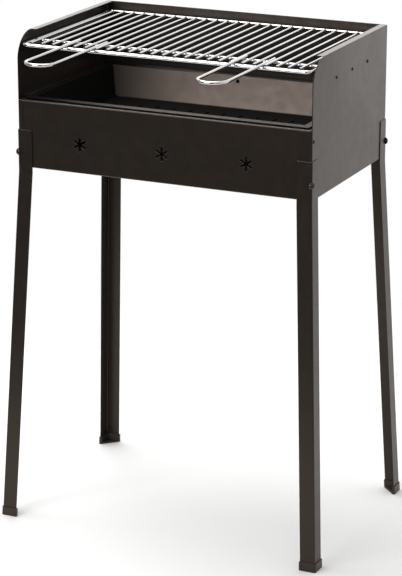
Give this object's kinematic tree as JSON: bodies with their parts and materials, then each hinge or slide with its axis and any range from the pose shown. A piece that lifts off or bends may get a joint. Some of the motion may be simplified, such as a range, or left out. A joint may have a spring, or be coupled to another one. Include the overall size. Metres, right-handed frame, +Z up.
{
  "type": "charcoal grill",
  "caption": "Free-standing sheet-steel charcoal grill on splayed angle legs, with star-shaped air vents, a slotted fire tray and a chromed wire grate that slides out by its loop handles.",
  "frame": {"origin": "on the floor, at the middle of the whole grill's plan, grate handles included", "axes": "+Z up, the front with the star vents towards -Y, +X to the right seen from the front"},
  "size_m": [0.5604, 0.4878, 0.802],
  "materials": {
    "casing_paint": "satin heat-proof paint, warm black",
    "tray_steel": "satin heat-proof paint over rolled sheet, dark grey",
    "grate_chrome": "bright plated wire",
    "rivet_steel": "dark painted rivet",
    "bolt_steel": "black-coated steel",
    "cap_plastic": "black moulded plastic"
  },
  "bodies": {
    "casing": {"right_side_panel": "casing_paint", "left_side_panel": "casing_paint", "front_panel": "casing_paint", "back_panel": "casing_paint", "floor_panel": "casing_paint", "right_grate_rail": "casing_paint", "left_grate_rail": "casing_paint", "right_tray_ledge": "casing_paint", "left_tray_ledge": "casing_paint", "rail_rivets": "rivet_steel", "panel_rivets": "rivet_steel", "front_right_leg": "casing_paint", "front_left_leg": "casing_paint", "back_right_leg": "casing_paint", "back_left_leg": "casing_paint", "front_right_foot_cap": "cap_plastic", "front_left_foot_cap": "cap_plastic", "back_right_foot_cap": "cap_plastic", "back_left_foot_cap": "cap_plastic", "leg_bolts": "bolt_steel", "leg_nuts": "bolt_steel"},
    "tray": {"fire_tray": "tray_steel"},
    "grate": {"grate_frame": "grate_chrome", "grate_back_rail": "grate_chrome", "grate_bars": "grate_chrome", "grate_cross_wire": "grate_chrome", "right_handle": "grate_chrome", "left_handle": "grate_chrome"}
  },
  "joints": [
    {"name": "grate_slide", "type": "slide", "parent": "casing", "child": "grate", "axis": [0, -1, 0], "range_m": [0, 0.31]},
    {"name": "tray_lift", "type": "slide", "parent": "casing", "child": "tray", "axis": [0, 0, 1], "range_m": [0, 0.07]}
  ]
}
